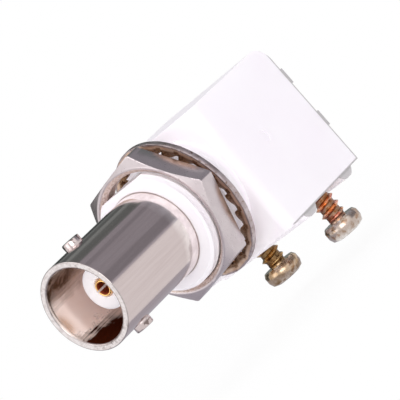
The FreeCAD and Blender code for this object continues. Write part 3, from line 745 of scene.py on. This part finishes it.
def gold_plate():
    """Gold over brass with a high polish; down the hole a dark red painted shade, and a pale
    painted light along the slot.
    """
    m = Finish("gold_contact")
    cloud = m.noise(m.place(), 4.0, 3.0)
    _, _, z = m.axes()
    # Painted shade: the hole's inside is dark red, rougher and hardly metallic; painted light:
    # pale along the slot
    down = 1 - m.from_axis().ramp(CONTACT_HOLE - 0.005, CONTACT_HOLE + 0.055)
    slot = 1 - (z - AXIS_HEIGHT).math("ABSOLUTE").ramp(0.07, 0.12)
    deep = m.blend(slot, (0.30, 0.045, 0.012), (0.95, 0.90, 0.84))
    plated = m.blend(cloud, (0.95, 0.52, 0.15), (1.0, 0.72, 0.32))
    return m.finish(
        colour=m.blend(down, plated, deep),
        roughness=0.14 + 0.10 * cloud + 0.35 * down,
        metallic=1 - 0.85 * down,
        normal=m.bump(cloud, 0.004, 0.2))


def tin_plate():
    """Dull tin over brass wire."""
    m = Finish("tinned_tail")
    cloud = m.noise(m.place(), 2.2, 4.0)
    return m.finish(
        colour=m.blend(cloud, (0.62, 0.60, 0.56), (0.78, 0.77, 0.74)),
        roughness=0.28 + 0.2 * cloud,
        metallic=1.0,
        normal=m.bump(cloud, 0.006, 0.3))


def nut_nickel():
    """Plated nut: satin nickel with tumbling marks, a few pits and a browner bore."""
    m = Finish("nickel_nut")
    radius = m.from_axis()
    cloud = m.noise(m.place(), 0.7, 4.0)
    grain = m.noise(m.place(2.2, 5, 2.2), 1.6, 3.0)
    cells = m.node("ShaderNodeTexVoronoi", None, {"Vector": m.place(), "Scale": 0.55},
                   output="Distance")
    pit = 1 - cells.ramp(0.03, 0.06)
    plated = m.blend(cloud.ramp(0.3, 0.7), (0.57, 0.50, 0.515), (0.64, 0.57, 0.58))
    # The countersink and the bore are browner
    brown_tint = m.blend(grain.ramp(0.35, 0.65), (0.62, 0.48, 0.40), (0.88, 0.78, 0.72))
    bore = 1 - radius.ramp(NUT_MOUTH - 0.08, NUT_MOUTH + 0.02)
    return m.finish(
        colour=m.blend(bore, m.blend(pit * 0.8, plated, (0.20, 0.15, 0.13)), brown_tint),
        roughness=0.24 + 0.10 * grain + 0.1 * bore,
        metallic=1.0,
        normal=m.bump(grain - pit, 0.005, 0.3))


def washer_nickel():
    """Stamped spring steel under nickel: grey rim, then towards the teeth's tips a copper painted
    reflection and dark brown painted shade.
    """
    m = Finish("nickel_washer")
    inward = m.node("ShaderNodeAttribute", {"attribute_name": "inward"}, output="Fac")
    cloud = m.noise(m.place(), 1.1, 4.0)
    scuff = m.noise(m.place(3, 3, 3), 1.7, 3.0)
    rim = m.blend(cloud.ramp(0.3, 0.7), (0.36, 0.28, 0.27), (0.58, 0.51, 0.53))
    speck = m.noise(m.place(), 2.8, 2.0).ramp(0.60, 0.66) * 0.7
    specked = m.blend(speck, rim, (0.16, 0.08, 0.05))
    # Painted reflection: a copper ring between the rim and the teeth
    painted_reflection_band = m.blend(cloud.ramp(0.3, 0.7), (0.62, 0.40, 0.27), (0.86, 0.66, 0.52))
    # Painted shade: the teeth darken to brown
    tooth = m.blend(scuff.ramp(0.3, 0.7), (0.09, 0.04, 0.018), (0.36, 0.21, 0.12))
    inner = m.blend(inward.ramp(0.34, 0.5), painted_reflection_band, tooth)
    return m.finish(
        colour=m.blend(inward.ramp(0.1, 0.2), specked, inner),
        roughness=0.24 + 0.2 * scuff,
        metallic=1.0,
        normal=m.bump(scuff, 0.006, 0.4))


def yellow_zinc():
    """Yellow zinc plate: brown and rose films on the shanks, grey heads with wear, and painted
    shade at the heads' outer edges and in the thread roots.
    """
    m = Finish("yellow_zinc")
    x, y, z = m.axes()
    aside = x.math("ABSOLUTE") - SCREW_ASIDE
    radius = (aside * aside + y * y).math("SQRT")
    film = m.noise(m.place(), 1.3, 4.0, 0.6)
    mottle = m.noise(m.place(), 0.95, 3.0, 0.6)
    shank = z.ramp(SCREW_SEAT - 0.02, SCREW_SEAT + 0.1)
    shank = shank * (1 - radius.ramp(SCREW_CREST + 0.02, SCREW_CREST + 0.05))
    right = x.ramp(-1, 1)
    # Painted shade darkens the thread roots
    root = shank * (1 - radius.ramp(SCREW_ROOT + 0.02, SCREW_ROOT + 0.2))
    brown = m.node("ShaderNodeValToRGB", {"stops": [
        (0.30, (0.20, 0.085, 0.02)), (0.45, (0.48, 0.26, 0.08)), (0.55, (0.78, 0.54, 0.25)),
        (0.70, (0.42, 0.22, 0.08))]}, {"Fac": film})
    rose = m.node("ShaderNodeValToRGB", {"stops": [
        (0.30, (0.32, 0.07, 0.02)), (0.43, (0.88, 0.35, 0.12)), (0.52, (1.0, 0.70, 0.50)),
        (0.60, (0.84, 0.30, 0.22)), (0.72, (0.56, 0.15, 0.05))]}, {"Fac": film})
    silver = m.node("ShaderNodeValToRGB", {"stops": [
        (0.30, (0.30, 0.18, 0.10)), (0.44, (0.54, 0.46, 0.41)), (0.56, (0.76, 0.72, 0.69)),
        (0.68, (0.42, 0.30, 0.22))]}, {"Fac": mottle})
    olive = m.node("ShaderNodeValToRGB", {"stops": [
        (0.30, (0.26, 0.14, 0.06)), (0.44, (0.52, 0.38, 0.25)), (0.56, (0.80, 0.68, 0.54)),
        (0.68, (0.38, 0.24, 0.13))]}, {"Fac": mottle})
    # Painted shade in brown patches at each head's outer edge
    edge = radius.ramp(SCREW_HEAD - 0.2, SCREW_HEAD) * mottle.ramp(0.35, 0.6) * 0.6
    head = m.blend(edge, m.blend(right, olive, silver), (0.30, 0.15, 0.07))
    coloured = m.blend(shank, head, m.blend(right, brown, rose))
    return m.finish(
        colour=m.blend(root * 0.75, coloured, (0.07, 0.025, 0.012)),
        roughness=0.12 + 0.20 * mottle,
        metallic=1.0,
        normal=m.bump(film, 0.008, 0.4))


# Assembly

FINISHES = {
    "white_moulding": white_moulding(),
    "white_dielectric": white_dielectric(),
    "nickel_shell": bright_nickel(),
    "gold_contact": gold_plate(),
    "tinned_tail": tin_plate(),
    "nickel_nut": nut_nickel(),
    "nickel_washer": washer_nickel(),
    "yellow_zinc": yellow_zinc(),
}


def dress(piece, finish):
    """Gives a piece one finish."""
    piece.data.materials.clear()
    piece.data.materials.append(FINISHES[finish])


# Each piece's maker, the CAD node that it replaces, its body, and its finish and slot
PIECES = [
    (moulding, "housing", "jack", "white_moulding"),
    (barrel, "bnc_shell", "jack", "nickel_shell"),
    (dielectric, "dielectric", "jack", "white_dielectric"),
    (contact, "centre_contact", "jack", "gold_contact"),
    (nut, "panel_nut", "panel_nut", "nickel_nut"),
    (washer, "lock_washer", "lock_washer", "nickel_washer"),
    (lambda: screw(-1), "board_screw_left", "board_screw_left", "yellow_zinc"),
    (lambda: screw(1), "board_screw_right", "board_screw_right", "yellow_zinc"),
]

for make, node, body, finish in PIECES:
    piece = make()
    dress(piece, finish)
    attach(piece, body)
    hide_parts(node)

for part in frame["record"]["subparts"]:
    dress(frame["nodes"][part["node"]], part["material_slot"])
# The CAD nodes that no piece replaces have flat sides
for node in ("rear_cover", "rear_insulator", "signal_tail", "ground_tail"):
    sides = frame["nodes"][node].data.polygons
    sides.foreach_set("use_smooth", np.zeros(len(sides), bool))


# Studio

CAMERA_AZIMUTH = math.radians(43.083)
CAMERA_ELEVATION = math.radians(3.219)
CAMERA_ROLL = math.radians(-41.293)
CAMERA_DISTANCE = 297.86
FOCAL_PIXELS = 3049.4
FRAME_PIXELS = 400
SENSOR = 36.0
# Where the picture's middle lies, from the point that the camera turns about, in pixels
MIDDLE_RIGHT = 28.61
MIDDLE_UP = 20.76
LOOK_AT = Vector((0, -12.95, AXIS_HEIGHT))
FLOOR_REACH = 700
TENT_DISTANCE = 400
# Each panel's two bearings, its two angles off the axis, and its grey. The last one stands
# beside the jack.
TENT_PANELS = [
    (-11, 2, 18, 74, 0.56), (2, 25, 18, 74, 0.31), (25, 62, 18, 74, 0.39),
    (62, 72, 18, 74, 0.31), (72, 85, 18, 74, 0.40), (85, 109, 18, 74, 0.18),
    (109, 121, 18, 74, 0.30), (121, 133, 18, 74, 0.15), (133, 145, 18, 74, 0.21),
    (145, 157, 18, 74, 0.05), (157, 169, 18, 74, 0.22), (169, 192, 18, 74, 0.30),
    (140, 215, 78, 106, 0.10),
]
CARD_GREY = 0.56
# Panels that start before this bearing are faintly lilac, the others faintly green
LILAC_UP_TO = 85
WORLD_LEVEL = 0.79
LAMP_DISTANCE = 0.5
# Each lamp's direction from the jack, its side in metres and its power in watts
LAMPS = {
    "key": ((0.62, -0.77, 0.14), 0.3, 0.72),
    "left": ((-0.28, -0.94, 0.14), 0.3, 0.3),
    "upper": ((-0.15, -0.4, 0.9), 0.4, 0.6),
    "side": ((0.95, -0.3, 0.35), 0.4, 0.15),
}


def set_camera():
    """The photograph's view: a long lens, turned 43 degrees and rolled."""
    back = Vector((math.sin(CAMERA_AZIMUTH) * math.cos(CAMERA_ELEVATION),
                   -math.cos(CAMERA_AZIMUTH) * math.cos(CAMERA_ELEVATION),
                   math.sin(CAMERA_ELEVATION)))
    level = Vector((math.cos(CAMERA_AZIMUTH), math.sin(CAMERA_AZIMUTH), 0))
    rise = back.cross(level)
    right = level * math.cos(CAMERA_ROLL) + rise * math.sin(CAMERA_ROLL)
    up = rise * math.cos(CAMERA_ROLL) - level * math.sin(CAMERA_ROLL)
    per_pixel = CAMERA_DISTANCE / FOCAL_PIXELS
    spot = (LOOK_AT + back * CAMERA_DISTANCE
            + right * MIDDLE_RIGHT * per_pixel + up * MIDDLE_UP * per_pixel)
    data = bpy.data.cameras.new("camera")
    data.sensor_width = SENSOR
    data.lens = FOCAL_PIXELS / FRAME_PIXELS * SENSOR
    data.clip_start = 0.01
    data.clip_end = 10
    camera = bpy.data.objects.new("camera", data)
    turn = Matrix((right, up, back)).transposed().to_4x4()
    camera.matrix_world = Matrix.Translation(spot * MM) @ turn
    bpy.context.scene.collection.objects.link(camera)
    bpy.context.scene.camera = camera


def lamp(name, direction, size, energy):
    """A square soft lamp that looks at the jack from a direction."""
    data = bpy.data.lights.new(name, "AREA")
    data.shape = "SQUARE"
    data.size = size
    data.energy = energy
    light = bpy.data.objects.new(name, data)
    towards = Vector(direction).normalized()
    light.location = LOOK_AT * MM + towards * LAMP_DISTANCE
    light.rotation_euler = towards.to_track_quat("Z", "Y").to_euler()
    bpy.context.scene.collection.objects.link(light)


def tent():
    """Grey panels behind the jack for its metal to reflect, and a grey card on the floor.

    A panel spans two bearings about the connector's axis, in degrees up from +X, and two
    angles off that axis. Gloss alone sees them.
    """
    start, end, near, far, level = np.array(TENT_PANELS).T
    lilac = np.append(start < LILAC_UP_TO, True)[:, None]
    bearing = np.radians(np.stack([start, end, end, start], axis=1))
    lean = np.radians(np.stack([near, near, far, far], axis=1))
    points = TENT_DISTANCE * np.stack([np.sin(lean) * np.cos(bearing), np.cos(lean),
                                       np.sin(lean) * np.sin(bearing)], axis=-1)
    points = points.reshape(-1, 3) + np.array(LOOK_AT)
    low = floor_height() + 0.05
    card = [(-260, -60, low), (0.5, -60, low), (0.5, 200, low), (-260, 200, low)]
    points = np.concatenate([points, card])
    panels = mesh_from("tent", points, np.arange(len(points)).reshape(-1, 4).tolist())
    level = np.append(level, CARD_GREY)[:, None]
    shade = panels.data.attributes.new("shade", "FLOAT_COLOR", "FACE")
    cool = level * np.where(lilac, (0.92, 0.91, 1.0), (0.88, 1.0, 0.98))
    shade.data.foreach_set("color", np.concatenate([cool, 1 + 0 * level], axis=1).ravel())

    m = Finish("tent")
    seen = m.node("ShaderNodeAttribute", {"attribute_name": "shade"})
    panels.data.materials.append(m.end(m.node("ShaderNodeEmission", None, {"Color": seen})))
    for way in ("camera", "diffuse", "transmission", "shadow", "volume_scatter"):
        setattr(panels, "visible_" + way, False)


def floor_height():
    """The floor lies under the screw heads, also where the screws are furthest out."""
    lowest = min(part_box("board_screw_left")[0][2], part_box("board_screw_right")[0][2]) / MM
    return lowest - SCREW_WAY_OUT


def set_floor():
    """A pale floor that keeps the jack's soft shadow and turns pure white further off."""
    m = Finish("floor")
    x, y, _ = m.axes()
    away = (x * x + y * y).math("SQRT")
    share = m.shown() * (0.92 + 0.08 * away.ramp(30, 120))
    matt = m.node("ShaderNodeBsdfDiffuse", None, {"Color": (0.97, 0.97, 0.97)})
    white = m.node("ShaderNodeEmission", None, {"Color": (1, 1, 1), "Strength": 1.0})
    low = floor_height()
    reach = FLOOR_REACH
    corners = [(-reach, -reach, low), (reach, -reach, low), (reach, reach, low),
               (-reach, reach, low)]
    floor = mesh_from("floor", corners, [[0, 1, 2, 3]])
    mixed = m.node("ShaderNodeMixShader", None, {0: share, 1: matt, 2: white})
    floor.data.materials.append(m.end(mixed))


def set_world():
    """White to the camera, to gloss and through glass; a level pale light otherwise."""
    m = Finish("studio", world=True)
    level = m.node("ShaderNodeBackground", None, {
        "Color": (0.985, 0.975, 1.0), "Strength": WORLD_LEVEL})
    white = m.node("ShaderNodeBackground", None, {"Color": (1, 1, 1), "Strength": 1.0})
    mixed = m.node("ShaderNodeMixShader", None, {0: m.shown(), 1: level, 2: white})
    bpy.context.scene.world = m.end(mixed)


set_camera()
set_world()
set_floor()
tent()
for name, values in LAMPS.items():
    lamp(name, *values)

bpy.context.scene.view_settings.view_transform = "Standard"
